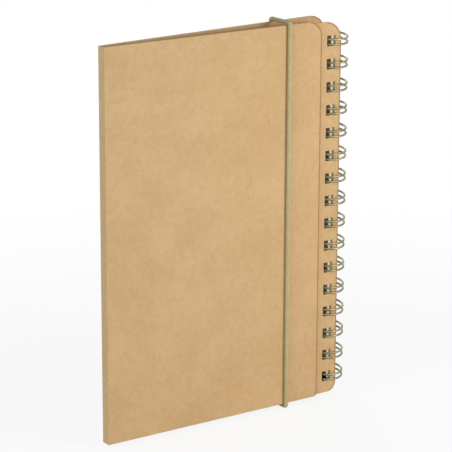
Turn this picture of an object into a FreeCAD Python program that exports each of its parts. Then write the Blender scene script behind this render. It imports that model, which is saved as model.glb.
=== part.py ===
# A5 kraft-board spiral notebook, upright, with a wrap-around front flap and an elastic cord.
# X runs from the fore-edge fold to the wire, the front looks along -Y, and Z is up.
# Sketches start at the fold's outer corner, and each body is set back so that the origin is
# under the middle of the notebook, on the surface that it stands on.
import FreeCAD, Part
import math
import os
import Sketcher

os.makedirs("parts", exist_ok=True)
doc = FreeCAD.newDocument("spiral_notebook")
Vector = FreeCAD.Vector

# Driving dimensions, in millimetres and degrees
SIZES = [
    ("board_thickness", 1.2),
    ("hole_size", 5.8),
    ("hole_pitch", 12.7),
    ("hole_inset", 6.5),
    ("back_hole_inset", 7.3),
    ("hole_drop", 0.8),
    ("row_margin", 10.75),
    ("back_width", 150.8),
    ("back_angle", 4.6),
    ("back_corner", 10.0),
    ("strip_width", 5.8),
    ("fold_radius", 0.9),
    ("flap_corner", 8.0),
    ("flap_gap", 0.2),
    ("punched_margin", 14.0),
    ("inner_start", 2.0),
    ("inner_edge_step", 0.314),
    ("inner_lift", 0.4),
    ("inner_top_trim", 1.2),
    ("inner_corner", 10.0),
    ("page_gap", 0.1),
    ("page_start", 3.2),
    ("page_edge_step", 1.0),
    ("page_lift", 1.6),
    ("page_top_trim", 2.4),
    ("page_corner", 10.0),
    ("page_wire_thickness", 5.4),
    ("page_slot_reach", 6.4),
    ("wire_diameter", 1.1),
    ("wire_rest_gap", 0.15),
    ("finger_half_gap", 1.4),
    ("ring_spare", 1.892),
    ("ring_tilt", 5.0),
    ("cord_diameter", 2.5),
    ("cord_gap", 0.1),
    ("cord_edge_step", 22.0),
    ("cord_inset", 14.0),
    ("cord_bend", 2.6),
    ("cord_hole", 3.6),
    ("end_diameter", 4.6),
    ("end_length", 3.6),
    ("end_wall_gap", 0.3),
    ("end_bore_gap", 0.05),
    ("end_cap", 0.6),
    ("origin_along", 79.4),
    ("origin_deep", 8.4),
]
HOLES = 16

# Sizes that follow from the ones above, as formulas of the same sheet
FOLLOWING = [
    ("cover_height", "hole_pitch * %d + row_margin * 2" % (HOLES - 1)),
    ("inner_end", "back_width * cos(back_angle * 1 deg) - inner_edge_step"),
    ("inner_height", "cover_height - inner_lift - inner_top_trim"),
    ("flap_width", "inner_end - punched_margin"),
    ("page_end", "inner_end - page_edge_step"),
    ("page_height", "cover_height - page_lift - page_top_trim"),
    ("page_fore_thickness", "strip_width - board_thickness * 3 - flap_gap - page_gap"),
    ("wire_sag", "hole_size / 2 - finger_half_gap - wire_diameter / 2 - wire_rest_gap"),
    ("cord_place", "flap_width - cord_edge_step"),
]

sheet = doc.addObject("Spreadsheet::Sheet", "sizes")
for row, (name, value) in enumerate(SIZES + FOLLOWING, start=1):
    sheet.set("A%d" % row, name)
    sheet.setAlias("B%d" % row, name)
    sheet.set("B%d" % row, "=%s" % value)
doc.recompute()


def size(name):
    """One driving dimension from the sheet."""
    return float(getattr(sheet, name))


def plane(body, role):
    """The body's own origin plane with this role."""
    return [item for item in body.Origin.OriginFeatures if item.Role == role][0]


def new_body(name):
    """A body set back from the fold's corner to the notebook's own origin."""
    body = doc.addObject("PartDesign::Body", name)
    body.setExpression("Placement.Base.x", "-sizes.origin_along")
    body.setExpression("Placement.Base.y", "-sizes.origin_deep")
    return body


def sketch_on(body, name, role, offset=None):
    """A sketch flat on an origin plane, moved along the plane's normal by an expression."""
    sketch = body.newObject("Sketcher::SketchObject", name)
    sketch.AttachmentSupport = [(plane(body, role), "")]
    sketch.MapMode = "FlatFace"
    if offset:
        sketch.setExpression("AttachmentOffset.Base.z", offset)
    return sketch


def bind(sketch, constraint, expression):
    """Add one constraint and drive it from the sheet."""
    index = sketch.addConstraint(constraint)
    sketch.setExpression("Constraints[%d]" % index, expression)
    return index


def line(sketch, start, end):
    """A straight line between two points of the sketch."""
    return sketch.addGeometry(Part.LineSegment(Vector(*start, 0), Vector(*end, 0)))


def arc(sketch, center, radius, start_deg, end_deg):
    """A counter-clockwise arc of the sketch."""
    circle = Part.Circle(Vector(*center, 0), Vector(0, 0, 1), radius)
    return sketch.addGeometry(
        Part.ArcOfCircle(circle, math.radians(start_deg), math.radians(end_deg))
    )


def rectangle(sketch, x0, x1, z0, z1):
    """A rectangle whose four sides are driven by (value, expression) pairs."""
    bottom = line(sketch, (x0[0], z0[0]), (x1[0], z0[0]))
    right = line(sketch, (x1[0], z0[0]), (x1[0], z1[0]))
    top = line(sketch, (x1[0], z1[0]), (x0[0], z1[0]))
    left = line(sketch, (x0[0], z1[0]), (x0[0], z0[0]))
    for first, second in ((bottom, right), (right, top), (top, left), (left, bottom)):
        sketch.addConstraint(Sketcher.Constraint("Coincident", first, 2, second, 1))
    for side in (bottom, top):
        sketch.addConstraint(Sketcher.Constraint("Horizontal", side))
    for side in (right, left):
        sketch.addConstraint(Sketcher.Constraint("Vertical", side))
    bind(sketch, Sketcher.Constraint("DistanceX", -1, 1, bottom, 1, x0[0]), x0[1])
    bind(sketch, Sketcher.Constraint("DistanceX", -1, 1, bottom, 2, x1[0]), x1[1])
    bind(sketch, Sketcher.Constraint("DistanceY", -1, 1, bottom, 1, z0[0]), z0[1])
    bind(sketch, Sketcher.Constraint("DistanceY", -1, 1, top, 1, z1[0]), z1[1])


def board_outline(sketch, x0, x1, z0, z1, radius):
    """A cover outline: square at the fore edge and rounded at the two wire-side corners."""
    r = radius[0]
    bottom = line(sketch, (x0[0], z0[0]), (x1[0] - r, z0[0]))
    low = arc(sketch, (x1[0] - r, z0[0] + r), r, 270, 360)
    right = line(sketch, (x1[0], z0[0] + r), (x1[0], z1[0] - r))
    high = arc(sketch, (x1[0] - r, z1[0] - r), r, 0, 90)
    top = line(sketch, (x1[0] - r, z1[0]), (x0[0], z1[0]))
    left = line(sketch, (x0[0], z1[0]), (x0[0], z0[0]))
    for first, second in ((bottom, low), (low, right), (right, high), (high, top)):
        sketch.addConstraint(Sketcher.Constraint("Tangent", first, 2, second, 1))
    for first, second in ((top, left), (left, bottom)):
        sketch.addConstraint(Sketcher.Constraint("Coincident", first, 2, second, 1))
    for side in (bottom, top):
        sketch.addConstraint(Sketcher.Constraint("Horizontal", side))
    for side in (right, left):
        sketch.addConstraint(Sketcher.Constraint("Vertical", side))
    sketch.addConstraint(Sketcher.Constraint("Equal", low, high))
    bind(sketch, Sketcher.Constraint("Radius", low, r), radius[1])
    if x0[0] == 0:
        sketch.addConstraint(Sketcher.Constraint("PointOnObject", left, 1, -2))
    else:
        bind(sketch, Sketcher.Constraint("DistanceX", -1, 1, left, 1, x0[0]), x0[1])
    bind(sketch, Sketcher.Constraint("DistanceX", -1, 1, right, 1, x1[0]), x1[1])
    bind(sketch, Sketcher.Constraint("DistanceY", -1, 1, bottom, 1, z0[0]), z0[1])
    bind(sketch, Sketcher.Constraint("DistanceY", -1, 1, top, 1, z1[0]), z1[1])


def punch_row(body, name, x0, x1, depth, offset=None):
    """Sixteen square holes: the lowest one is cut, and the rest follow at the hole pitch."""
    low = (first_hole - size("hole_size") / 2, FIRST_HOLE + " - sizes.hole_size / 2")
    high = (first_hole + size("hole_size") / 2, FIRST_HOLE + " + sizes.hole_size / 2")
    sketch = sketch_on(body, name + "_hole_sketch", "XZ_Plane", offset)
    rectangle(sketch, x0, x1, low, high)
    pocket = body.newObject("PartDesign::Pocket", name + "_hole")
    pocket.Profile = sketch
    pocket.Midplane = True
    pocket.setExpression("Length", depth)
    row = body.newObject("PartDesign::LinearPattern", name + "_hole_row")
    row.Originals = [pocket]
    row.Direction = (sketch, ["V_Axis"])
    row.setExpression("Length", "sizes.hole_pitch * %d" % (HOLES - 1))
    row.Occurrences = HOLES
    body.Tip = row
    return row


def round_fold(body, board, name):
    """Round the board's outer upright edge at the fold, where the card was bent."""
    doc.recompute()
    edges = []
    for number, edge in enumerate(board.Shape.Edges, start=1):
        middle = edge.CenterOfMass
        outer = abs(middle.x) < 0.001 and abs(middle.y) < 0.001
        if outer and abs(edge.tangentAt(edge.FirstParameter).z) > 0.99:
            edges.append("Edge%d" % number)
    fold = body.newObject("PartDesign::Fillet", name)
    fold.Base = (board, edges)
    fold.setExpression("Radius", "sizes.fold_radius")
    body.Tip = fold


# Shared places, as a value and as the expression that drives it
base = size("cord_diameter") + size("cord_gap")
BASE = "(sizes.cord_diameter + sizes.cord_gap)"
cover_top = base + size("cover_height")
COVER_TOP = "(%s + sizes.cover_height)" % BASE
first_hole = base + size("row_margin") - size("hole_drop")
FIRST_HOLE = "(%s + sizes.row_margin - sizes.hole_drop)" % BASE
inner_y = size("board_thickness") + size("flap_gap")
INNER_Y = "(sizes.board_thickness + sizes.flap_gap)"
page_y = inner_y + size("board_thickness") + size("page_gap")
PAGE_Y = "(%s + sizes.board_thickness + sizes.page_gap)" % INNER_Y

# Front flap: the large kraft panel that comes round the fore-edge fold
front_flap = new_body("front_flap")
sketch = sketch_on(front_flap, "flap_sketch", "XZ_Plane")
board_outline(
    sketch,
    (0, "0"),
    (size("flap_width"), "sizes.flap_width"),
    (base, BASE),
    (cover_top, COVER_TOP),
    (size("flap_corner"), "sizes.flap_corner"),
)
pad = front_flap.newObject("PartDesign::Pad", "flap_board")
pad.Profile = sketch
pad.Reversed = True
pad.setExpression("Length", "sizes.board_thickness")
round_fold(front_flap, pad, "flap_fold_edge")

# Fore-edge strip: the narrow board between the two folds
fore_edge_strip = new_body("fore_edge_strip")
sketch = sketch_on(fore_edge_strip, "strip_sketch", "XY_Plane", BASE)
rectangle(
    sketch,
    (0, "0"),
    (size("board_thickness"), "sizes.board_thickness"),
    (size("board_thickness"), "sizes.board_thickness"),
    (size("strip_width") - size("board_thickness"), "sizes.strip_width - sizes.board_thickness"),
)
pad = fore_edge_strip.newObject("PartDesign::Pad", "strip_board")
pad.Profile = sketch
pad.setExpression("Length", "sizes.cover_height")
fore_edge_strip.Tip = pad

# Back cover: it opens from the strip as a wedge and carries the wire and the elastic
back_cover = new_body("back_cover")
sketch = sketch_on(back_cover, "back_sketch", "XZ_Plane")
board_outline(
    sketch,
    (0, "0"),
    (size("back_width"), "sizes.back_width"),
    (base, BASE),
    (cover_top, COVER_TOP),
    (size("back_corner"), "sizes.back_corner"),
)
pad = back_cover.newObject("PartDesign::Pad", "back_board")
pad.Profile = sketch
pad.setExpression("Length", "sizes.board_thickness")
round_fold(back_cover, pad, "back_fold_edge")
hole_x = size("back_width") - size("back_hole_inset")
half_hole = size("hole_size") / 2
punch_row(
    back_cover,
    "back",
    (hole_x - half_hole, "sizes.back_width - sizes.back_hole_inset - sizes.hole_size / 2"),
    (hole_x + half_hole, "sizes.back_width - sizes.back_hole_inset + sizes.hole_size / 2"),
    "sizes.board_thickness * 4",
)
back_tan = math.tan(math.radians(size("back_angle")))
back_cos = math.cos(math.radians(size("back_angle")))
cord_holes = sketch_on(back_cover, "cord_hole_sketch", "XZ_Plane")
for level, expression in (
    (base + size("cord_inset"), BASE + " + sizes.cord_inset"),
    (cover_top - size("cord_inset"), COVER_TOP + " - sizes.cord_inset"),
):
    place = size("cord_place") / back_cos
    circle = cord_holes.addGeometry(
        Part.Circle(Vector(place, level, 0), Vector(0, 0, 1), size("cord_hole") / 2)
    )
    bind(cord_holes, Sketcher.Constraint("Diameter", circle, size("cord_hole")), "sizes.cord_hole")
    bind(
        cord_holes,
        Sketcher.Constraint("DistanceX", -1, 1, circle, 3, place),
        "sizes.cord_place / cos(sizes.back_angle * 1 deg)",
    )
    bind(cord_holes, Sketcher.Constraint("DistanceY", -1, 1, circle, 3, level), expression)
cord_pocket = back_cover.newObject("PartDesign::Pocket", "cord_holes")
cord_pocket.Profile = cord_holes
cord_pocket.Midplane = True
cord_pocket.setExpression("Length", "sizes.board_thickness * 4")
back_cover.Tip = cord_pocket
back_cover.Placement = FreeCAD.Placement(
    Vector(-size("origin_along"), size("strip_width") - size("origin_deep"), 0),
    FreeCAD.Rotation(Vector(0, 0, 1), size("back_angle")),
)
back_cover.setExpression("Placement.Base.y", "sizes.strip_width - sizes.origin_deep")
back_cover.setExpression("Placement.Rotation.Angle", "sizes.back_angle * 1 deg")

# Inner front cover: it lies under the flap, and its punched edge shows beside it
front_cover = new_body("front_cover")
sketch = sketch_on(front_cover, "inner_sketch", "XZ_Plane", "-" + INNER_Y)
inner_low = (base + size("inner_lift"), BASE + " + sizes.inner_lift")
inner_high = (
    base + size("inner_lift") + size("inner_height"),
    BASE + " + sizes.inner_lift + sizes.inner_height",
)
board_outline(
    sketch,
    (size("inner_start"), "sizes.inner_start"),
    (size("inner_end"), "sizes.inner_end"),
    inner_low,
    inner_high,
    (size("inner_corner"), "sizes.inner_corner"),
)
pad = front_cover.newObject("PartDesign::Pad", "inner_board")
pad.Profile = sketch
pad.Reversed = True
pad.setExpression("Length", "sizes.board_thickness")
inner_hole_x = size("inner_end") - size("hole_inset")
punch_row(
    front_cover,
    "inner",
    (inner_hole_x - half_hole, "sizes.inner_end - sizes.hole_inset - sizes.hole_size / 2"),
    (inner_hole_x + half_hole, "sizes.inner_end - sizes.hole_inset + sizes.hole_size / 2"),
    "sizes.board_thickness * 4",
    "-" + INNER_Y,
)

# Page block: thin at the fore edge, where the sheets lie tight, and fanned out at the wire
page_block = new_body("page_block")
wedge = sketch_on(page_block, "page_wedge_sketch", "XY_Plane", BASE + " + sizes.page_lift")
front_y = page_y
corners = [
    (size("page_start"), front_y),
    (size("page_end"), front_y),
    (size("page_end"), front_y + size("page_wire_thickness")),
    (size("page_start"), front_y + size("page_fore_thickness")),
]
sides = [line(wedge, corners[i], corners[(i + 1) % 4]) for i in range(4)]
for i in range(4):
    wedge.addConstraint(Sketcher.Constraint("Coincident", sides[i], 2, sides[(i + 1) % 4], 1))
wedge.addConstraint(Sketcher.Constraint("Horizontal", sides[0]))
wedge.addConstraint(Sketcher.Constraint("Vertical", sides[1]))
wedge.addConstraint(Sketcher.Constraint("Vertical", sides[3]))
bind(wedge, Sketcher.Constraint("DistanceX", -1, 1, sides[0], 1, corners[0][0]), "sizes.page_start")
bind(wedge, Sketcher.Constraint("DistanceX", -1, 1, sides[0], 2, corners[1][0]), "sizes.page_end")
bind(wedge, Sketcher.Constraint("DistanceY", -1, 1, sides[0], 1, front_y), PAGE_Y)
bind(
    wedge,
    Sketcher.Constraint("DistanceY", sides[1], 1, sides[1], 2, size("page_wire_thickness")),
    "sizes.page_wire_thickness",
)
bind(
    wedge,
    Sketcher.Constraint("DistanceY", sides[3], 2, sides[3], 1, size("page_fore_thickness")),
    "sizes.page_fore_thickness",
)
pad = page_block.newObject("PartDesign::Pad", "page_stack")
pad.Profile = wedge
pad.setExpression("Length", "sizes.page_height")
doc.recompute()
corner_edges = []
for number, edge in enumerate(pad.Shape.Edges, start=1):
    direction = edge.tangentAt(edge.FirstParameter)
    at_wire = abs(edge.CenterOfMass.x - size("page_end")) < 0.001
    if at_wire and abs(direction.y) > 0.99:
        corner_edges.append("Edge%d" % number)
page_fillet = page_block.newObject("PartDesign::Fillet", "page_corners")
page_fillet.Base = (pad, corner_edges)
page_fillet.setExpression("Radius", "sizes.page_corner")
punch_row(
    page_block,
    "page",
    (inner_hole_x - size("page_slot_reach"), "sizes.inner_end - sizes.hole_inset - sizes.page_slot_reach"),
    (inner_hole_x + half_hole, "sizes.inner_end - sizes.hole_inset + sizes.hole_size / 2"),
    "sizes.page_wire_thickness * 4",
    "-" + PAGE_Y,
)


# Shared by the cord and the wire: a solid through a row of faceted sections
def face(points):
    """One flat face through these points."""
    return Part.Face(Part.makePolygon(points + [points[0]]))


def strand(sections):
    """A closed solid through the sections, with a flat or folded side from each to the next."""
    faces = [face(sections[0]), face(sections[-1])]
    for first, second in zip(sections[:-1], sections[1:]):
        for side in range(len(first)):
            following = (side + 1) % len(first)
            quad = [first[side], first[following], second[following], second[side]]
            normal = (quad[1] - quad[0]).cross(quad[2] - quad[0]).normalize()
            if abs(normal.dot(quad[3] - quad[0])) < 1e-7:
                faces.append(face(quad))
            else:
                faces.append(face(quad[:3]))
                faces.append(face([quad[0], quad[2], quad[3]]))
    solid = Part.Solid(Part.makeShell(faces))
    if solid.Volume < 0:
        solid.reverse()
    return solid


# Elastic cord: round cord on its real route, over the top edge, down the front and back under
CORD_FACETS = 12
CORD_STEPS = 4

back_face = size("strip_width") + size("cord_place") * back_tan
BACK_FACE = "(sizes.strip_width + sizes.cord_place * tan(sizes.back_angle * 1 deg))"
back_inside = back_face - size("board_thickness") / back_cos
BACK_INSIDE = "(%s - sizes.board_thickness / cos(sizes.back_angle * 1 deg))" % BACK_FACE
high = cover_top - size("cord_inset")
low = base + size("cord_inset")
HIGH = "(%s - sizes.cord_inset)" % COVER_TOP
LOW = "(%s + sizes.cord_inset)" % BASE

cord_radius = size("cord_diameter") / 2
edge_turn = cord_radius + size("cord_gap")
bend = size("cord_bend")
run_y = back_face + edge_turn
tip_y = back_inside - size("end_wall_gap") - size("end_length") + size("end_cap") + size("cord_gap")


def cord_section(deep, level, heading):
    """The cord's faceted section, square to its direction in its upright plane."""
    across = Vector(0, -math.sin(heading), math.cos(heading))
    center = Vector(
        size("cord_place") - size("origin_along"),
        deep - size("origin_deep"),
        level,
    )
    points = []
    for facet in range(CORD_FACETS):
        angle = 2 * math.pi * facet / CORD_FACETS
        offset = Vector(math.cos(angle), 0, 0) + across * math.sin(angle)
        points.append(center + offset * cord_radius)
    return points


def cord_turn(number, deep, level, radius):
    """The sections of one quarter turn; the cord always turns the same way."""
    sections = []
    for step in range(CORD_STEPS + 1):
        heading = math.pi / 2 * (number + step / CORD_STEPS)
        along = deep + radius * math.sin(heading)
        up = level - radius * math.cos(heading)
        sections.append(cord_section(along, up, heading))
    return sections


cord_turns = [
    (run_y - bend, high + bend, bend),
    (back_face, cover_top, edge_turn),
    (0, cover_top, edge_turn),
    (0, base, edge_turn),
    (back_face, base, edge_turn),
    (run_y - bend, low - bend, bend),
]
cord_sections = [cord_section(tip_y, high, 0)]
for number, (deep, level, radius) in enumerate(cord_turns):
    cord_sections.extend(cord_turn(number, deep, level, radius))
cord_sections.append(cord_section(tip_y, low, math.pi * 3))
elastic_cord = doc.addObject("Part::Feature", "elastic_cord")
elastic_cord.Shape = strand(cord_sections)


def cord_end(name, level, expression):
    """A crimped metal end: a short cup on the cord's tip, too wide for the hole in the cover."""
    body = new_body(name)
    REAR = "(%s - sizes.end_wall_gap)" % BACK_INSIDE
    outline = sketch_on(body, name + "_sketch", "XZ_Plane", "-" + REAR)
    rim = outline.addGeometry(
        Part.Circle(Vector(size("cord_place"), level, 0), Vector(0, 0, 1), size("end_diameter") / 2)
    )
    bind(outline, Sketcher.Constraint("Diameter", rim, size("end_diameter")), "sizes.end_diameter")
    bind(outline, Sketcher.Constraint("DistanceX", -1, 1, rim, 3, size("cord_place")), "sizes.cord_place")
    bind(outline, Sketcher.Constraint("DistanceY", -1, 1, rim, 3, level), expression)
    cup = body.newObject("PartDesign::Pad", name + "_cup")
    cup.Profile = outline
    cup.setExpression("Length", "sizes.end_length")
    bore_sketch = sketch_on(body, name + "_bore_sketch", "XZ_Plane", "-" + REAR)
    bore_size = size("cord_diameter") + 2 * size("end_bore_gap")
    bore = bore_sketch.addGeometry(
        Part.Circle(Vector(size("cord_place"), level, 0), Vector(0, 0, 1), bore_size / 2)
    )
    bind(
        bore_sketch,
        Sketcher.Constraint("Diameter", bore, bore_size),
        "sizes.cord_diameter + 2 * sizes.end_bore_gap",
    )
    bind(bore_sketch, Sketcher.Constraint("DistanceX", -1, 1, bore, 3, size("cord_place")), "sizes.cord_place")
    bind(bore_sketch, Sketcher.Constraint("DistanceY", -1, 1, bore, 3, level), expression)
    hollow = body.newObject("PartDesign::Pocket", name + "_bore")
    hollow.Profile = bore_sketch
    hollow.Reversed = True
    hollow.setExpression("Length", "sizes.end_length - sizes.end_cap")
    body.Tip = hollow
    return body


cord_end_top = cord_end("cord_end_top", high, HIGH)
cord_end_bottom = cord_end("cord_end_bottom", low, LOW)

# Twin-loop wire: one strand bent into sixteen hairpin fingers joined by straight links.
# The fingers rest on the front holes' lower edges and rise a little towards the back.
ARC_STEPS = 14
TURN_STEPS = 4
ELBOW_STEPS = 2
WIRE_FACETS = 6
ROOT_DEG = 168.0
TIP_DEG = 505.0
ELBOW_RADIUS = 1.0

half_gap = size("finger_half_gap")
section_radius = size("wire_diameter") / 2 * 1.08
front_cross = front_cover.Placement.multVec(
    Vector(inner_hole_x, inner_y + size("board_thickness") / 2, 0)
)
back_cross = back_cover.Placement.multVec(Vector(hole_x, -size("board_thickness") / 2, 0))
back_cross.z = 0
chord = back_cross - front_cross
ring_radius = chord.Length / 2 + size("ring_spare")
middle = (front_cross + back_cross) * 0.5
reach = math.sqrt(ring_radius ** 2 - (chord.Length / 2) ** 2)
ring_center = middle + Vector(chord.y, -chord.x, 0).normalize() * reach
ring_rise = math.tan(math.radians(size("ring_tilt")))


def finger_route(level):
    """One finger unrolled: distance along the ring and height, with the direction of travel."""
    start = math.radians(ROOT_DEG) * ring_radius + ELBOW_RADIUS
    end = math.radians(TIP_DEG) * ring_radius
    route = []
    for step in range(ELBOW_STEPS):
        angle = math.pi / 2 * step / ELBOW_STEPS
        s = start - ELBOW_RADIUS * math.cos(angle)
        z = level - half_gap - ELBOW_RADIUS + ELBOW_RADIUS * math.sin(angle)
        route.append((s, z, math.pi / 2 - angle))
    for step in range(ARC_STEPS):
        route.append((start + (end - start) * step / ARC_STEPS, level - half_gap, 0.0))
    for step in range(TURN_STEPS + 1):
        angle = math.pi * step / TURN_STEPS
        route.append((end + half_gap * math.sin(angle), level - half_gap * math.cos(angle), angle))
    for step in range(1, ARC_STEPS + 1):
        route.append((end + (start - end) * step / ARC_STEPS, level + half_gap, math.pi))
    for step in range(1, ELBOW_STEPS + 1):
        angle = math.pi / 2 * step / ELBOW_STEPS
        s = start - ELBOW_RADIUS * math.sin(angle)
        z = level + half_gap + ELBOW_RADIUS - ELBOW_RADIUS * math.cos(angle)
        route.append((s, z, math.pi - angle))
    return route


def section_points(s, z, heading):
    """The wire's faceted section, square to its direction on the ring's cylinder."""
    turn_angle = s / ring_radius
    radial = Vector(math.cos(turn_angle), math.sin(turn_angle), 0)
    tangent = Vector(-math.sin(turn_angle), math.cos(turn_angle), 0)
    across = tangent * -math.sin(heading) + Vector(0, 0, 1) * math.cos(heading)
    center = ring_center + radial * ring_radius + Vector(0, 0, z)
    points = []
    for facet in range(WIRE_FACETS):
        angle = 2 * math.pi * facet / WIRE_FACETS
        offset = radial * math.cos(angle) + across * math.sin(angle)
        point = center + offset * section_radius
        point.z += (point.y - front_cross.y) * ring_rise
        points.append(point)
    return points


route = []
for finger in range(HOLES):
    route.extend(finger_route(first_hole + finger * size("hole_pitch") - size("wire_sag")))
wire_binding = doc.addObject("Part::Feature", "wire_binding")
wire_binding.Shape = strand([section_points(*stop) for stop in route])

# Check every object, then write one file for each node
doc.recompute()
NODES = [
    back_cover,
    fore_edge_strip,
    front_flap,
    front_cover,
    page_block,
    wire_binding,
    elastic_cord,
    cord_end_top,
    cord_end_bottom,
]
for item in doc.Objects:
    if "Invalid" in item.State or "Error" in item.State:
        raise RuntimeError("%s is in state %s" % (item.Name, item.State))
for node in NODES:
    node.Label = node.Name
    if node.Shape.isNull() or not node.Shape.isValid():
        raise RuntimeError("%s has no valid shape" % node.Name)
    if len(node.Shape.Solids) != 1:
        raise RuntimeError("%s has %d solids" % (node.Name, len(node.Shape.Solids)))
    node.Shape.exportStep("parts/%s.step" % node.Name)
    box = node.Shape.BoundBox
    print(
        "%-16s x %.2f..%.2f  y %.2f..%.2f  z %.2f..%.2f  volume %.0f"
        % (node.Name, box.XMin, box.XMax, box.YMin, box.YMax, box.ZMin, box.ZMax, node.Shape.Volume)
    )
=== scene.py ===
# %% [markdown]
# # A kraft-board spiral notebook
#
# This lesson dresses a small notebook that stands upright. Its large front flap comes round the
# fore edge, a twin-loop wire holds the sheets, and a round elastic keeps the flap shut.
# The CAD model is the fixed frame of the scene: it says where each piece is and how it moves.
# The boards are copied from it and worked on. The wire, the elastic and the sheets are modelled
# again, because those need detail that a CAD solid doesn't carry. The elastic's two metal ends
# keep their CAD shape and get a finish.

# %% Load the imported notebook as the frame
import math
import random

import bmesh
import bpy
from mathutils import Matrix, Vector


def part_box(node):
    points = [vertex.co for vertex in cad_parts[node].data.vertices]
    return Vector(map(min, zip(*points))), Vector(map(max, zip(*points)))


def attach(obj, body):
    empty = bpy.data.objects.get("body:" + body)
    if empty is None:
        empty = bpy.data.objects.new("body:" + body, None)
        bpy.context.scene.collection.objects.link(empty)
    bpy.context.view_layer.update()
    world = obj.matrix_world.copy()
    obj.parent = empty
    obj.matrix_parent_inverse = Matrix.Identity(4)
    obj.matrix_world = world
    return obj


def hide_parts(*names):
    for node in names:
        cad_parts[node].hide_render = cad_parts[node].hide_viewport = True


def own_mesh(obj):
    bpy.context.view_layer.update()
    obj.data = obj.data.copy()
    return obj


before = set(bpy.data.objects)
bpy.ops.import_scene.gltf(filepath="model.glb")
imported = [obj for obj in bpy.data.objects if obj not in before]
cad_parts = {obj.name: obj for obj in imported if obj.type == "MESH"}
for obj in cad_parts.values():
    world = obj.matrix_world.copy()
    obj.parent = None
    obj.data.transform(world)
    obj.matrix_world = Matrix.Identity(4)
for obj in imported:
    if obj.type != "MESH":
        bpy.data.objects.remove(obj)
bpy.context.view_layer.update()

print("CAD nodes:", ", ".join(sorted(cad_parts)))

# %% [markdown]
# ## Camera
#
# The photograph was taken with a long lens, from the front left and a little above. A long lens
# keeps upright edges nearly parallel. The values below come from fitting a camera to the
# corners of the covers, the sixteen holes and the rings, so the model falls within a few pixels
# of the photograph. Places are in metres, and the lens and the sensor in millimetres.

# %% Camera at the photograph's angle
CAMERA_TARGET = Vector((0.00056, 0.0, 0.1079))
CAMERA_DISTANCE = 1.1595
CAMERA_YAW = math.radians(34.48)
CAMERA_DROP = math.radians(15.48)
CAMERA_ROLL = math.radians(0.19)
CAMERA_LENS = 172.4
CAMERA_SENSOR = 36.0

forward = Vector((
    math.sin(CAMERA_YAW) * math.cos(CAMERA_DROP),
    math.cos(CAMERA_YAW) * math.cos(CAMERA_DROP),
    -math.sin(CAMERA_DROP),
))
level = Vector((math.cos(CAMERA_YAW), -math.sin(CAMERA_YAW), 0.0))
upward = level.cross(forward)
right = level * math.cos(CAMERA_ROLL) + upward * math.sin(CAMERA_ROLL)
upward = right.cross(forward)

bpy.ops.object.camera_add(location=CAMERA_TARGET - forward * CAMERA_DISTANCE)
camera = bpy.context.object
camera.name = "photo_camera"
camera.rotation_euler = Matrix((right, upward, -forward)).transposed().to_euler()
camera.data.sensor_width = CAMERA_SENSOR
camera.data.lens = CAMERA_LENS
bpy.context.scene.camera = camera
bpy.context.scene.view_settings.view_transform = "Standard"
print("camera at", [round(value, 3) for value in camera.location])

# %% [markdown]
# ## Measures
#
# The pieces made here have to sit exactly where the CAD solids are. Plain outer sizes are read
# from the frame. The rest is written down once, in millimetres, and one factor makes metres.

# %% Shared measures
MM = 0.001
UP = Vector((0.0, 0.0, 1.0))
UPPER_CORNER = 10.0 * MM
LOWER_CORNER = 5.5 * MM
FLAP_UPPER_CORNER = 8.0 * MM
FLAP_LOWER_CORNER = 2.0 * MM
FINGERS = 16
FINGER_PITCH = 12.7 * MM

# %% [markdown]
# ## Helpers for working as by hand
#
# Blender's operators act on whatever is selected. Each step therefore starts with nothing
# selected, and parts of a mesh are picked by where they are.

# %% Select by place
def start_clean():
    """Object mode with nothing selected."""
    if bpy.context.object and bpy.context.object.mode != "OBJECT":
        bpy.ops.object.mode_set(mode="OBJECT")
    bpy.ops.object.select_all(action="DESELECT")


def work_on(piece):
    """Make one piece the only selected and active one."""
    start_clean()
    piece.select_set(True)
    bpy.context.view_layer.objects.active = piece


def pick(kind, chosen):
    """In edit mode, select the vertices, edges or faces for which the test holds."""
    bpy.ops.mesh.select_mode(type=kind)
    bpy.ops.mesh.select_all(action="DESELECT")
    mesh = bmesh.from_edit_mesh(bpy.context.edit_object.data)
    items = {"VERT": mesh.verts, "EDGE": mesh.edges, "FACE": mesh.faces}[kind]
    count = 0
    for item in items:
        if chosen(item):
            item.select_set(True)
            count += 1
    mesh.select_flush_mode()
    bmesh.update_edit_mesh(bpy.context.edit_object.data)
    return count


def settle(piece, name):
    """Leave a finished piece at the origin, unturned and unscaled, with its place in its mesh."""
    work_on(piece)
    bpy.ops.object.transform_apply(location=True, rotation=True, scale=True)
    piece.name = name
    piece.data.name = name
    faces = len(piece.data.polygons)
    piece.data.calc_loop_triangles()
    print(name, "has", faces, "faces and", len(piece.data.loop_triangles), "triangles")


# %% [markdown]
# ## Writing shader maths
#
# A finish is a small program: masks are added, scaled and mixed. Written as one node after
# another that is hard to read, so a socket is wrapped in a class that understands +, - and *.
# Every operator adds one Math node. The world is a node tree too and is built the same way.

# %% A socket that understands arithmetic
class Signal:
    """A socket of a node tree. Arithmetic on a number socket adds Math nodes."""

    def __init__(self, shading, socket):
        self.shading = shading
        self.socket = socket

    def maths(self, operation, *others):
        """One Math node, with this number first and the others after it."""
        numbers = dict(enumerate((self, *others)))
        return self.shading.node("ShaderNodeMath", {"operation": operation}, numbers)

    def __add__(self, other):
        return self.maths("ADD", other)

    def __sub__(self, other):
        return self.maths("SUBTRACT", other)

    def __mul__(self, other):
        return self.maths("MULTIPLY", other)

    def __rsub__(self, other):
        return self.maths("MULTIPLY_ADD", -1.0, other)

    __radd__ = __add__
    __rmul__ = __mul__

    def ramp(self, low, high):
        """0 below low, 1 above high, and a soft step between."""
        settings = {"interpolation_type": "SMOOTHSTEP"}
        return self.shading.node("ShaderNodeMapRange", settings, {0: self, 1: low, 2: high})


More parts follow.
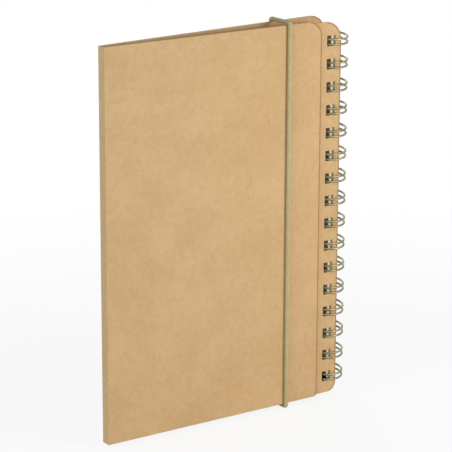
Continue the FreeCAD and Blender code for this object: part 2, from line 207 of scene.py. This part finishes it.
# %% A node tree, and a material under construction
class Shading:
    """A node tree with one method that adds any node."""

    def __init__(self, tree):
        self.tree = tree

    def node(self, kind, settings=None, inputs=None, output=0):
        """Add a node: its settings first, then values or links for its sockets."""
        node = self.tree.nodes.new(kind)
        for name, value in (settings or {}).items():
            setattr(node, name, value)
        for name, value in (inputs or {}).items():
            self.plug(node.inputs[name], value)
        return Signal(self, node.outputs[output])

    def plug(self, socket, value):
        """Put a value or a link into a socket."""
        if isinstance(value, Signal):
            self.tree.links.new(value.socket, socket)
        else:
            socket.default_value = value

    def blend(self, amount, first, second):
        """Mix two colours by a mask."""
        settings = {"data_type": "RGBA"}
        inputs = {"Factor": amount, 6: first, 7: second}
        return self.node("ShaderNodeMix", settings, inputs, output=2)


class Finish(Shading):
    """A material with one Principled shader."""

    def __init__(self, name):
        self.material = bpy.data.materials.new(name)
        self.material.use_nodes = True
        super().__init__(self.material.node_tree)
        self.shader = self.tree.nodes["Principled BSDF"]

    def place(self):
        """Where a point is on the piece, in metres."""
        return self.node("ShaderNodeTexCoord", output="Object")

    def part(self, vector, axis):
        """One number of a vector: axis 0 is X, 1 is Y and 2 is Z."""
        return self.node("ShaderNodeSeparateXYZ", None, {0: vector}, output=axis)

    def swapped(self, vector):
        """The same vector with X and Y changed over."""
        parts = {0: self.part(vector, 1), 1: self.part(vector, 0), 2: self.part(vector, 2)}
        return self.node("ShaderNodeCombineXYZ", None, parts)

    def stretched(self, place, turn, size):
        """Place turned by angles in degrees and stretched, so that a noise becomes strands."""
        return self.node(
            "ShaderNodeMapping",
            {"vector_type": "TEXTURE"},
            {"Vector": place, "Rotation": [math.radians(angle) for angle in turn], "Scale": size},
        )

    def noise(self, place, scale, detail=2.0, roughness=0.5):
        """Soft noise between about 0.2 and 0.8."""
        inputs = {"Vector": place, "Scale": scale, "Detail": detail, "Roughness": roughness}
        return self.node("ShaderNodeTexNoise", None, inputs)

    def relief(self, height, depth, strength=1.0):
        """Feed a height to the shader's normal; depth is in metres."""
        inputs = {"Height": height, "Distance": depth, "Strength": strength}
        self.plug(self.shader.inputs["Normal"], self.node("ShaderNodeBump", None, inputs))

    def set(self, **values):
        """Set the shader's sockets, such as Base_Color or Roughness."""
        for name, value in values.items():
            self.plug(self.shader.inputs[name.replace("_", " ")], value)


def paint(red, green, blue):
    """A screen colour from 0 to 255, as the linear colour that a shader expects."""
    def linear(value):
        value = value / 255
        return value / 12.92 if value <= 0.04045 else ((value + 0.055) / 1.055) ** 2.4
    return (linear(red), linear(green), linear(blue), 1.0)


# %% [markdown]
# ## Kraft board
#
# Unbleached kraft board is brown paper pulp. From afar it is an even warm tan. Closer, it shows
# soft clouds where the pulp lay thicker, long pale and dark fibres that lie in every direction
# of the sheet, and a few dark flecks. The cut edges show the layers of the board.
# Noise gives the clouds. The same noise, stretched about ten times in one direction and cut off
# high up, leaves only thin strands, and three such layers at different angles look like fibres.
#
# A thin darker line follows the free end of each board round its corners. It is painted shade,
# standing in for the shadow along the step at a board's edge, such as where the flap's edge lies
# on the inner cover. The line needs the distance to the outline, which is worked out from the
# board's box in the frame and from how round its corners are.

# %% Parts of the kraft finish
def painted_edge_shade(finish, place, node, upper_corner, lower_corner):
    """Painted shade: 1 on the outline at a board's free end and 0 further in."""
    darkest_within, clear, fading_in = 0.35 * MM, 1.1 * MM, 1.5 * MM
    low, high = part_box(node)
    level = finish.part(place, 2) - (low.z + high.z) / 2
    upper = level.maths("GREATER_THAN", 0.0)
    corner = upper * (upper_corner - lower_corner) + lower_corner
    along = (finish.part(place, 0) - high.x + corner).maths("MAXIMUM", 0.0)
    height = level.maths("ABSOLUTE") - (high.z - low.z) / 2 + corner
    height = height.maths("MAXIMUM", 0.0)
    inside = corner - (along * along + height * height).maths("SQRT")
    return (1.0 - inside.ramp(darkest_within, clear)) * along.ramp(0.0, fading_in)


def fibres(finish, place, lay, length, fineness, cut):
    """Thin strands of pulp. Lay is the angle and the width of each layer of strands."""
    layers = 0.0
    for angle, width in lay:
        lengthwise = finish.stretched(place, (0, angle, 0), (length, 1.0, width))
        layers = layers + finish.noise(lengthwise, fineness, 1.0).ramp(*cut)
    return layers


# %% Kraft board
def kraft_board(name, outline=None, faces_sideways=False):
    """The boards' finish. Outline is a board's node with its upper and its lower corner."""
    finish = Finish(name)
    place = finish.place()
    facing = finish.node("ShaderNodeTexCoord", output="Normal")
    edge_shade = painted_edge_shade(finish, place, *outline) if outline else None
    if faces_sideways:
        place = finish.swapped(place)
        facing = finish.swapped(facing)
    clouds = finish.noise(place, 45.0, 3.0) * 0.55 + finish.noise(place, 260.0, 3.0) * 0.45
    tone = finish.blend(clouds.ramp(0.36, 0.66), paint(205, 169, 121), paint(213, 179, 131))

    pale = fibres(finish, place, ((18, 0.9), (75, 1.1), (-40, 1.0)), 11.0, 2600.0, (0.60, 0.70))
    tone = finish.blend(pale * 0.16, tone, paint(228, 200, 160))
    dark = fibres(finish, place, ((52, 1.0), (-12, 1.0), (-80, 1.0)), 9.0, 2100.0, (0.64, 0.73))
    tone = finish.blend(dark * 0.12, tone, paint(152, 114, 76))
    flecks = finish.noise(place, 900.0, 1.0).ramp(0.735, 0.76)
    tone = finish.blend(flecks * 0.35, tone, paint(130, 94, 60))
    # Painted shade: a darker line along the board's free end stands in for the shadow at its edge.
    if edge_shade:
        tone = finish.blend(edge_shade * 0.8, tone, paint(160, 112, 72))

    flat_side = finish.part(facing, 1).maths("ABSOLUTE").ramp(0.45, 0.75)
    layers = finish.noise(finish.stretched(place, (0, 0, 0), (14.0, 0.35, 14.0)), 2600.0, 2.0)
    cut_edge = finish.blend(layers.ramp(0.35, 0.65), paint(176, 144, 100), paint(206, 180, 138))
    finish.set(Base_Color=finish.blend(flat_side, cut_edge, tone))

    tooth = finish.noise(place, 3400.0, 3.0, 0.6)
    finish.set(Roughness=finish.noise(place, 500.0, 2.0) * 0.16 + 0.74, Specular_IOR_Level=0.25)
    finish.relief(tooth * 0.5 + pale * 0.18 + clouds * 0.4, 0.05 * MM, 0.6)
    return finish.material


# %% [markdown]
# ## Mitred folds
#
# The back cover, the narrow strip and the flap are one creased board. In the CAD model their
# ends butt against each other, so a slit would open on the outside when the flap swings away.
# A creased board keeps its outer skin whole. The boards are therefore copied, and the edges
# along both folds are slanted, so that the outer corners meet on the fold's axis. The inner
# front cover has no fold, but it is copied with them because its corners change further on.

# %% Copy the four boards
def copied_board(node, name, body):
    """Copy a CAD board, weld its vertices and put the copy in its place."""
    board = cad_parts[node]
    copy = bpy.data.objects.new(name, board.data.copy())
    copy.matrix_world = board.matrix_world
    bpy.context.collection.objects.link(copy)
    work_on(copy)
    bpy.ops.mesh.customdata_custom_splitnormals_clear()
    bpy.ops.object.mode_set(mode="EDIT")
    bpy.ops.mesh.select_all(action="SELECT")
    bpy.ops.mesh.remove_doubles(threshold=0.001 * MM)
    bpy.ops.mesh.dissolve_limited(angle_limit=math.radians(1))
    bpy.ops.object.mode_set(mode="OBJECT")
    settle(copy, name)
    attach(copy, body)
    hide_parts(node)
    return copy


flap_board = copied_board("front_flap", "flap_board", "flap")
strip_board = copied_board("fore_edge_strip", "strip_board", "strip")
back_board = copied_board("back_cover", "back_board", "block")
front_board = copied_board("front_cover", "front_board", "block")

# %% Slant the edges along both folds
def slant(board, chosen, fold, along):
    """Slide a board's end along the board, onto the line between a fold's two corners."""
    outer, inner = fold
    normal = Vector((inner.y - outer.y, outer.x - inner.x))
    moved = 0
    for vertex in board.data.vertices:
        if chosen(vertex.co):
            distance = (vertex.co.xy - outer).dot(normal) / along.dot(normal)
            vertex.co.xy -= along * distance
            moved += 1
    print(board.name, "has", moved, "vertices on a slanted edge")


ACROSS = Vector((1.0, 0.0))
DEEPER = Vector((0.0, 1.0))
BACK_LEAN = math.radians(4.6)
LEANING = Vector((math.cos(BACK_LEAN), math.sin(BACK_LEAN)))

flap_low, flap_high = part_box("front_flap")
strip_low, strip_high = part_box("fore_edge_strip")
strip_middle = (strip_low.y + strip_high.y) / 2
near_fold = strip_high.x - 0.1 * MM
flap_fold = flap_low.xy, Vector((strip_high.x, flap_high.y))
# The outer and the inner face of the leaning back board meet those of the strip at these points.
strip_fold = Vector((-79.4, -2.604)) * MM, Vector((-78.2, -3.717)) * MM

slant(flap_board, lambda place: place.x < near_fold, flap_fold, ACROSS)
slant(strip_board, lambda place: place.y < strip_middle, flap_fold, DEEPER)
slant(strip_board, lambda place: place.y > strip_middle, strip_fold, DEEPER)
slant(back_board, lambda place: place.x < near_fold, strip_fold, LEANING)

# %% [markdown]
# ## Tighter lower corners
#
# In the photograph the lower corners are tighter than the upper ones, most of all on the flap.
# The CAD boards have equal corners. A corner's arc keeps its shape when it is shrunk towards
# the corner's point, so its vertices are found by their distance from the arc's middle and are
# drawn in. The faces round them are triangulated afresh afterwards.

# %% Tighten the lower corners
def tighten(board, radius, new_radius, along):
    """Shrink the arc at a board's lower free corner. Along points to the board's free end."""
    along = along.to_3d()
    end = max(vertex.co.dot(along) for vertex in board.data.vertices)
    foot = min(vertex.co.z for vertex in board.data.vertices)
    slack = 0.05 * MM
    moved = 0
    for vertex in board.data.vertices:
        out = vertex.co.dot(along) - end
        height = vertex.co.z - foot
        off_arc = math.hypot(out + radius, height - radius) - radius
        in_corner = out > -radius - slack and height < radius + slack
        if in_corner and abs(off_arc) < slack:
            vertex.co -= (along * out + UP * height) * (1 - new_radius / radius)
            moved += 1
    print(board.name, "has", moved, "vertices on its lower corner")


tighten(flap_board, FLAP_UPPER_CORNER, FLAP_LOWER_CORNER, ACROSS)
tighten(front_board, UPPER_CORNER, LOWER_CORNER, ACROSS)
tighten(back_board, UPPER_CORNER, LOWER_CORNER, LEANING)

# %% Close the changed faces evenly again
for board in (flap_board, strip_board, back_board, front_board):
    work_on(board)
    bpy.ops.object.mode_set(mode="EDIT")
    bpy.ops.mesh.select_all(action="SELECT")
    bpy.ops.mesh.quads_convert_to_tris()
    bpy.ops.mesh.normals_make_consistent(inside=False)
    bpy.ops.object.mode_set(mode="OBJECT")
    bpy.ops.object.shade_smooth_by_angle(angle=math.radians(30))
    print(board.name, "has", len(board.data.polygons), "triangles")

# %% Dress the four boards
BOARDS = (
    (flap_board, kraft_board("kraft_flap", ("front_flap", FLAP_UPPER_CORNER, FLAP_LOWER_CORNER))),
    (front_board, kraft_board("kraft_front", ("front_cover", UPPER_CORNER, LOWER_CORNER))),
    (back_board, kraft_board("kraft_back", ("back_cover", UPPER_CORNER, LOWER_CORNER))),
    (strip_board, kraft_board("kraft_strip", faces_sideways=True)),
)
for board, finish in BOARDS:
    board.data.materials.clear()
    board.data.materials.append(finish)
    print(board.name, "is kraft board")

# %% [markdown]
# ## Twin-loop wire
#
# A twin-loop binding is one steel wire with a pale champagne coat, bent flat into a row of
# hairpins and then rolled shut. Each hairpin is a finger: it leaves a hole, goes nearly once
# round, turns at its tip and comes back to the same hole, and a short link leads to the next.
# A tube that follows a drawn curve would do, but the wire is really bent, so it is bent here
# too: a small circle is spun round an elbow, round the ring, round the hairpin's tip and back,
# and the finger is then repeated sixteen times.

# %% Bend and run a ring of vertices
def run(offset):
    """Draw the selected ring straight on by this offset."""
    bpy.ops.mesh.extrude_region_move(TRANSFORM_OT_translate={"value": offset})


def bend(steps, degrees, centre, axis):
    """Turn the selected ring about an axis, leaving a bent tube. Spin counts clockwise turns."""
    bpy.ops.mesh.spin(steps=steps, angle=-math.radians(degrees), center=centre, axis=axis)


def outward(angle):
    """The direction away from the ring's middle."""
    return Vector((math.cos(angle), math.sin(angle), 0.0))


def onward(angle):
    """The direction of travel round the ring."""
    return Vector((-math.sin(angle), math.cos(angle), 0.0))


# %% Bend one finger
WIRE_RADIUS = 0.55 * MM
WIRE_SIDES = 12
RING_CENTRE = Vector((69.497, 1.113, 0.0)) * MM
RING_RADIUS = 9.25 * MM
ELBOW_RADIUS = 1.0 * MM
FIRST_FINGER = 11.75 * MM
HALF_GAP = 1.4 * MM
FINGER_START = math.radians(168.0) + ELBOW_RADIUS / RING_RADIUS
FINGER_TIP = math.radians(505.0)
ELBOW_STEPS, RING_STEPS, TIP_STEPS = 5, 46, 14

root = RING_CENTRE + outward(FINGER_START) * RING_RADIUS
tip = RING_CENTRE + outward(FINGER_TIP) * RING_RADIUS
first_elbow = root + UP * (FIRST_FINGER - HALF_GAP - ELBOW_RADIUS)
last_elbow = root + UP * (FIRST_FINGER + HALF_GAP + ELBOW_RADIUS)
begin = first_elbow - onward(FINGER_START) * ELBOW_RADIUS
sweep = math.degrees(FINGER_TIP - FINGER_START)

start_clean()
bpy.ops.mesh.primitive_circle_add(vertices=WIRE_SIDES, radius=WIRE_RADIUS, location=begin)
wire = bpy.context.object
bpy.ops.object.mode_set(mode="EDIT")
bpy.ops.mesh.select_all(action="SELECT")
bend(ELBOW_STEPS, 90, first_elbow, -outward(FINGER_START))
bend(RING_STEPS, sweep, RING_CENTRE, UP)
bend(TIP_STEPS, 180, tip + UP * FIRST_FINGER, outward(FINGER_TIP))
bend(RING_STEPS, -sweep, RING_CENTRE, UP)
bend(ELBOW_STEPS, 90, last_elbow, -outward(FINGER_START))
run(UP * (FINGER_PITCH - 2 * (HALF_GAP + ELBOW_RADIUS)))
bpy.ops.object.mode_set(mode="OBJECT")
bpy.ops.object.transform_apply(location=True, rotation=True, scale=True)
print("one finger is bent from", len(wire.data.vertices) // WIRE_SIDES, "rings of vertices")

# %% Let the finger rise towards the back
# The finger hangs on the front hole's lower edge, and its far side stands a little higher.
RING_RISE = math.tan(math.radians(5.0))
FRONT_HOLE_Y = -6.4 * MM
rise = Matrix.Identity(4)
rise[2][1] = RING_RISE
rise[2][3] = -FRONT_HOLE_Y * RING_RISE
wire.data.transform(rise)
print("the finger rises by", round(2 * RING_RADIUS * RING_RISE / MM, 2), "mm over the ring")

# %% Repeat the finger up the spine and close both ends
row = wire.modifiers.new("fingers", "ARRAY")
row.count = FINGERS
row.use_relative_offset = False
row.use_constant_offset = True
row.constant_offset_displace = (0.0, 0.0, FINGER_PITCH)
row.use_merge_vertices = True
row.merge_threshold = 0.01 * MM
work_on(wire)
bpy.ops.object.modifier_apply(modifier=row.name)
last_level = FIRST_FINGER + (FINGERS - 1) * FINGER_PITCH + HALF_GAP + ELBOW_RADIUS
last_level += (begin.y - FRONT_HOLE_Y) * RING_RISE
bpy.ops.object.mode_set(mode="EDIT")
spare = pick("VERT", lambda vertex: vertex.co.z > last_level + 0.1 * MM)
bpy.ops.mesh.delete(type="VERT")
open_ends = pick("EDGE", lambda edge: edge.is_boundary)
bpy.ops.mesh.fill_holes(sides=0)
bpy.ops.mesh.select_all(action="SELECT")
bpy.ops.mesh.normals_make_consistent(inside=False)
bpy.ops.object.mode_set(mode="OBJECT")
bpy.ops.object.shade_smooth_by_angle(angle=math.radians(50))
settle(wire, "twin_loop_wire")
print("cut off", spare, "vertices of spare link and closed", open_ends, "open edges")

# %% [markdown]
# ## Champagne wire coat
#
# The wire has a thin metallic lacquer. It is less sharp than polished metal, slightly greenish
# gold, and rubbed a little brighter where fingers and paper touch it. A metallic shader with
# medium roughness gives the soft streaks of light, and a fine noise breaks them up.

# %% Champagne wire
def champagne_wire():
    finish = Finish("champagne_wire")
    place = finish.place()
    rubbed = finish.noise(place, 420.0, 3.0).ramp(0.4, 0.7)
    finish.set(
        Base_Color=finish.blend(rubbed, paint(138, 134, 102), paint(172, 168, 134)),
        Metallic=0.85,
        Roughness=finish.noise(place, 1900.0, 2.0) * 0.22 + 0.34,
    )
    finish.relief(finish.noise(place, 5200.0, 2.0), 0.01 * MM, 0.5)
    return finish.material


wire.data.materials.append(champagne_wire())
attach(wire, "block")
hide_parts("wire_binding")
print(wire.name, "has the finish", wire.data.materials[0].name)

# %% [markdown]
# ## Elastic
#
# The elastic is a round braided cord with a rubber core. It comes out of the back cover, goes
# over the top edge, down the front and back under the bottom edge. It is stretched, so it runs
# dead straight between the edges. The tube is made straight, where its braid can be measured
# evenly along it, and is then bent along its route, so that the braid bends with it.
# Each stop of the route is a place, the way in which the line arrives and the way in which it
# leaves, all as Y and Z in millimetres.

# %% The route of the elastic
CORD_RADIUS = 1.15 * MM
CORD_X = 34.6 * MM
QUARTER_HANDLE = 0.5523
TURN_IN = 2.6 * QUARTER_HANDLE
TURN_OVER = 1.35 * QUARTER_HANDLE
BACK_RUN, FRONT_RUN = 7.9222, -9.65
ROUTE = [
    ((2.1683, 200.6), (0, 0), (1, 0)),
    ((5.3222, 200.6), (1, 0), (TURN_IN, 0)),
    ((BACK_RUN, 203.2), (0, TURN_IN), (0, 1)),
    ((BACK_RUN, 214.6), (0, 1), (0, TURN_OVER)),
    ((6.5722, 215.95), (-TURN_OVER, 0), (-1, 0)),
    ((-8.4, 215.95), (-1, 0), (-TURN_OVER, 0)),
    ((FRONT_RUN, 214.6), (0, -TURN_OVER), (0, -1)),
    ((FRONT_RUN, 2.6), (0, -1), (0, -TURN_OVER)),
    ((-8.4, 1.25), (TURN_OVER, 0), (1, 0)),
    ((6.5722, 1.25), (1, 0), (TURN_OVER, 0)),
    ((BACK_RUN, 2.6), (0, TURN_OVER), (0, 1)),
    ((BACK_RUN, 14.0), (0, 1), (0, TURN_IN)),
    ((5.3222, 16.6), (-TURN_IN, 0), (-1, 0)),
    ((2.1683, 16.6), (-1, 0), (-1, 0)),
]


def upright(pair):
    """A (y, z) pair in millimetres as a point of the elastic's plane, in metres."""
    return Vector((CORD_X, pair[0] * MM, pair[1] * MM))


guide_line = bpy.data.curves.new("elastic_route", "CURVE")
guide_line.dimensions = "3D"
guide_line.resolution_u = 24
spline = guide_line.splines.new("BEZIER")
spline.bezier_points.add(len(ROUTE) - 1)
for stop, (place, arriving, leaving) in zip(spline.bezier_points, ROUTE):
    stop.handle_left_type = stop.handle_right_type = "FREE"
    stop.co = upright(place)
    stop.handle_left = upright((place[0] - arriving[0], place[1] - arriving[1]))
    stop.handle_right = upright((place[0] + leaving[0], place[1] + leaving[1]))
guide = bpy.data.objects.new("elastic_route", guide_line)
bpy.context.collection.objects.link(guide)
cord_length = spline.calc_length()
print("the elastic is", round(cord_length / MM, 1), "mm long")

# %% A straight tube, cut into short rings and bent along the route
# One subdivide makes a hundred cuts at most, so the long edges are cut twice in the same way.
start_clean()
bpy.ops.mesh.primitive_cylinder_add(
    vertices=20,
    radius=CORD_RADIUS,
    depth=cord_length,
    end_fill_type="NOTHING",
    location=(cord_length / 2, 0.0, 0.0),
    rotation=(0.0, math.radians(90), 0.0),
)
elastic = bpy.context.object
bpy.ops.object.transform_apply(location=True, rotation=True, scale=True)
bpy.ops.object.mode_set(mode="EDIT")
for longer_than in (10.0 * MM, 1.0 * MM):
    pick("EDGE", lambda edge: abs(edge.verts[0].co.x - edge.verts[1].co.x) > longer_than)
    bpy.ops.mesh.subdivide(number_cuts=30)
pick("EDGE", lambda edge: edge.is_boundary)
bpy.ops.mesh.fill_holes(sides=0)
bpy.ops.object.mode_set(mode="OBJECT")
follow = elastic.modifiers.new("route", "CURVE")
follow.object = guide
follow.deform_axis = "POS_X"
bpy.ops.object.modifier_apply(modifier=follow.name)
bpy.data.objects.remove(guide)
bpy.ops.object.shade_smooth_by_angle(angle=math.radians(60))
settle(elastic, "elastic_sleeve")

# %% [markdown]
# ## Braided olive sleeve
#
# The sleeve is braided from two sets of fine threads that run round the cord in opposite
# directions and pass over and under each other. Counting threads round the cord plus or minus
# threads along it gives the two diagonals. A checker of the two decides which thread is on top,
# and each thread is a small hump. The straight tube's own map carries the pattern: it goes once
# round in U, and the side takes the upper half of V.

# %% Braided sleeve
THREADS_AROUND = 10.0
THREAD_PITCH = 1.1 * MM


def braided_sleeve(length):
    finish = Finish("olive_braid")
    own_map = finish.node("ShaderNodeUVMap", {"uv_map": elastic.data.uv_layers[0].name})
    around = finish.part(own_map, 0) * THREADS_AROUND
    along = finish.part(own_map, 1) * (2.0 * length / THREAD_PITCH)
    rising, falling = around + along, around - along
    over = (rising.maths("FLOOR") + falling.maths("FLOOR")).maths("FLOORED_MODULO", 2.0)
    rising_hump = (rising.maths("FRACT") * math.pi).maths("SINE")
    falling_hump = (falling.maths("FRACT") * math.pi).maths("SINE")
    threads = over * rising_hump + (1.0 - over) * falling_hump
    wear = finish.noise(finish.place(), 160.0, 2.0)
    # Painted shade: each thread is coloured darker towards its edges and paler on its crown, so
    # the grooves between threads look shaded.
    tone = finish.blend(threads.ramp(0.05, 0.85), paint(142, 128, 78), paint(212, 200, 150))
    tone = finish.blend(wear.ramp(0.45, 0.75) * 0.3, tone, paint(220, 208, 160))
    finish.set(Base_Color=tone, Roughness=threads * -0.15 + 0.68, Specular_IOR_Level=0.35)
    finish.relief(threads, 0.12 * MM, 0.8)
    return finish.material


elastic.data.materials.append(braided_sleeve(cord_length))
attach(elastic, "block")
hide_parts("elastic_cord")
print("the braid counts", round(cord_length / THREAD_PITCH), "threads along the elastic")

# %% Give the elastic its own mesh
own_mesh(elastic)
print("the elastic spans", round(BACK_RUN - FRONT_RUN, 1), "mm of depth when the flap is closed")

# %% [markdown]
# ## Sheets
#
# The page block is a stack of cream sheets. At the fore edge they lie tight, and at the wire
# they fan out, because the rings are wider than the stack. One flat sheet is made first: a
# plane with two rounded corners and sixteen punched holes. Straight cuts across the sheet mark
# the holes, and their faces are deleted. The sheet is then copied, turned a little more each
# time about the fore edge, and given its thickness. The real stack has more sheets than the 24
# made here, which are enough for its edges to read as a stack.

# %% One sheet with rounded corners
sheets_low, sheets_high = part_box("page_block")
sheets_middle = (sheets_low + sheets_high) / 2
sheet_width, wire_thickness, sheet_height = sheets_high - sheets_low

start_clean()
bpy.ops.mesh.primitive_plane_add(
    size=1.0,
    location=(sheets_middle.x, sheets_low.y, sheets_middle.z),
    rotation=(math.radians(90), 0.0, 0.0),
)
sheet = bpy.context.object
sheet.scale = (sheet_width, sheet_height, 1.0)
bpy.ops.object.transform_apply(location=True, rotation=True, scale=True)


def round_corner(radius, level):
    """Round the sheet's corner at the wire that stands at this level."""
    pick("VERT", lambda vertex: vertex.co.x > sheets_high.x - MM and abs(vertex.co.z - level) < MM)
    bpy.ops.mesh.bevel(offset=radius, offset_type="OFFSET", segments=8, affect="VERTICES")


bpy.ops.object.mode_set(mode="EDIT")
round_corner(UPPER_CORNER, sheets_high.z)
round_corner(LOWER_CORNER, sheets_low.z)
print("a sheet is", [round(side / MM, 1) for side in (sheet_width, sheet_height)], "mm")

# %% Punch its sixteen holes
HOLE_LEFT, HOLE_RIGHT = 59.4 * MM, 65.2 * MM
FIRST_HOLE, HALF_HOLE = 12.55 * MM, 2.9 * MM


def in_hole_column(face):
    """Whether a face lies in the column of holes."""
    return HOLE_LEFT < face.calc_center_median().x < HOLE_RIGHT


def is_hole(face):
    """Whether a face fills one of the sixteen holes."""
    height = face.calc_center_median().z - FIRST_HOLE
    nearest = round(height / FINGER_PITCH) * FINGER_PITCH
    return in_hole_column(face) and abs(height - nearest) < MM


for edge_x in (HOLE_LEFT, HOLE_RIGHT):
    bpy.ops.mesh.select_all(action="SELECT")
    bpy.ops.mesh.bisect(plane_co=(edge_x, 0, 0), plane_no=(1, 0, 0))
for hole in range(FINGERS):
    for edge_z in (-HALF_HOLE, HALF_HOLE):
        pick("FACE", in_hole_column)
        level_z = FIRST_HOLE + hole * FINGER_PITCH + edge_z
        bpy.ops.mesh.bisect(plane_co=(0, 0, level_z), plane_no=(0, 0, 1))
holes = pick("FACE", is_hole)
bpy.ops.mesh.delete(type="FACE")
bpy.ops.object.mode_set(mode="OBJECT")
print("punched", holes, "holes in a sheet of", len(sheet.data.polygons), "faces")

# %% Fan the sheets and give them their thickness
SHEETS = 24
PAPER_THICKNESS = 0.076 * MM
FORE_THICKNESS = 1.9 * MM
MOST_SHORT, MOST_LOW = 0.1 * MM, 0.12 * MM

random.seed(7)
fan = []
for number in range(SHEETS):
    share = (number + 0.5) / SHEETS
    slope = share * (wire_thickness - FORE_THICKNESS) / sheet_width
    work_on(sheet)
    bpy.ops.object.duplicate(linked=False)
    leaf = bpy.context.object
    about = Matrix.Translation((sheets_low.x, sheets_low.y, 0.0))
    leaf.data.transform(about @ Matrix.Rotation(math.atan(slope), 4, "Z") @ about.inverted())
    leaf.location = (
        random.uniform(-MOST_SHORT, 0.0),
        share * FORE_THICKNESS,
        random.uniform(-MOST_LOW, 0.0),
    )
    fan.append(leaf)
start_clean()
for leaf in fan:
    leaf.select_set(True)
bpy.context.view_layer.objects.active = fan[0]
bpy.ops.object.join()
pages = bpy.context.object
bpy.data.objects.remove(sheet)
paper = pages.modifiers.new("paper", "SOLIDIFY")
paper.thickness = PAPER_THICKNESS
paper.offset = 0.0
bpy.ops.object.modifier_apply(modifier=paper.name)
settle(pages, "page_sheets")

# %% [markdown]
# ## Cream paper
#
# Uncoated writing paper is matt and slightly warm. Its colour barely changes, so the finish is
# a faint cloud of tone and a fine tooth.

# %% Cream paper
def cream_paper():
    finish = Finish("cream_paper")
    place = finish.place()
    cloud = finish.noise(place, 90.0, 3.0).ramp(0.35, 0.65)
    finish.set(
        Base_Color=finish.blend(cloud, paint(232, 218, 188), paint(241, 229, 204)),
        Roughness=finish.noise(place, 800.0, 2.0) * 0.1 + 0.82,
    )
    finish.relief(finish.noise(place, 4200.0, 2.0), 0.02 * MM, 0.5)
    return finish.material


pages.data.materials.append(cream_paper())
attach(pages, "block")
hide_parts("page_block")
print(pages.name, "has the finish", pages.data.materials[0].name)

# %% [markdown]
# ## Metal cord ends
#
# Inside the back cover each end of the elastic is crimped into a short metal cup that is too
# wide for the hole. The CAD cups keep their shape and get a dull brass finish.

# %% Dull brass
def dull_brass():
    finish = Finish("dull_brass")
    place = finish.place()
    stain = finish.noise(place, 900.0, 3.0).ramp(0.4, 0.65)
    finish.set(
        Base_Color=finish.blend(stain, paint(168, 140, 84), paint(196, 170, 112)),
        Metallic=0.9,
        Roughness=finish.noise(place, 2600.0, 2.0) * 0.25 + 0.3,
    )
    finish.relief(finish.noise(place, 6000.0, 2.0), 0.01 * MM, 0.5)
    return finish.material


brass = dull_brass()
for name in ("cord_end_top", "cord_end_bottom"):
    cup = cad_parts[name]
    cup.data.materials.clear()
    cup.data.materials.append(brass)
    print(name, "is dull brass")

# %% [markdown]
# ## Light, floor and background
#
# The photograph's light is broad and soft. The front is evenly lit and a little brighter at the
# top, and the fore-edge strip is in cooler light. So a warm key stands at the front right, a
# little above the notebook's top, a larger bluish box at the left acts as a window, and a third
# at the back lights the wire and the top edge. The world adds a little open shade. Camera,
# mirror and glass rays see the world as plain white, and the pale floor carries a soft shadow.

# %% Softboxes
def softbox(name, place, aim, size, power, tint):
    """A square area lamp that points at a place."""
    bpy.ops.object.light_add(type="AREA", location=place)
    lamp = bpy.context.object
    lamp.name = name
    lamp.rotation_euler = (Vector(aim) - Vector(place)).to_track_quat("-Z", "Y").to_euler()
    lamp.data.size = size
    lamp.data.energy = power
    lamp.data.color = tint
    print(name, power, "W")


softbox(
    "key_softbox", place=(0.26, -0.54, 0.29), aim=(0.0, 0.0, 0.14),
    size=0.16, power=1.95, tint=(1.0, 0.96, 0.92),
)
softbox(
    "window_softbox", place=(-0.80, -0.28, 0.30), aim=(0.0, 0.0, 0.10),
    size=0.50, power=2.8, tint=(0.76, 0.89, 1.0),
)
softbox(
    "back_softbox", place=(0.20, 0.80, 0.50), aim=(0.0, 0.0, 0.10),
    size=0.60, power=2.4, tint=(1.0, 0.99, 0.97),
)

# %% World
OPEN_SHADE = (0.29, 0.29, 0.29, 1.0)
WHITE = (1.0, 1.0, 1.0, 1.0)

world = bpy.data.worlds.new("studio")
bpy.context.scene.world = world
world.use_nodes = True
studio = Shading(world.node_tree)
seen = studio.node("ShaderNodeLightPath", output="Is Camera Ray")
for ray in ("Is Glossy Ray", "Is Transmission Ray"):
    seen = seen.maths("MAXIMUM", studio.node("ShaderNodeLightPath", output=ray))
background = world.node_tree.nodes["Background"]
studio.plug(background.inputs["Color"], studio.blend(seen, OPEN_SHADE, WHITE))
print("the open shade has a strength of", OPEN_SHADE[0])

# %% Pale floor
# Seen by the camera, the floor is mostly plain white near the notebook and wholly white further
# off, so that only the soft shadow under the notebook tells it from the background.
FLOOR_COLOUR = (0.93, 0.93, 0.93, 1.0)
WHITE_SHARE_NEAR = 0.86
SHADE_ENDS_FROM, SHADE_ENDS_AT = 0.15, 0.50

start_clean()
bpy.ops.mesh.primitive_plane_add(size=12.0, location=(0.0, 0.0, 0.0))
floor = bpy.context.object
floor.name = "pale_floor"
pale = Finish("pale_floor")
pale.set(Base_Color=FLOOR_COLOUR, Roughness=0.9)
lit_floor = Signal(pale, pale.shader.outputs[0])
plain_white = pale.node("ShaderNodeEmission", None, {"Color": WHITE, "Strength": 1.0})
away = pale.node("ShaderNodeVectorMath", {"operation": "LENGTH"}, {0: pale.place()}, output=1)
share = away.ramp(SHADE_ENDS_FROM, SHADE_ENDS_AT) * (1 - WHITE_SHARE_NEAR) + WHITE_SHARE_NEAR
straight = pale.node("ShaderNodeLightPath", output="Is Camera Ray") * share
mixed = pale.node("ShaderNodeMixShader", None, {0: straight, 1: lit_floor, 2: plain_white})
pale.plug(pale.tree.nodes["Material Output"].inputs["Surface"], mixed)
floor.data.materials.append(pale.material)
print("the floor is", round(floor.dimensions.x), "m wide")
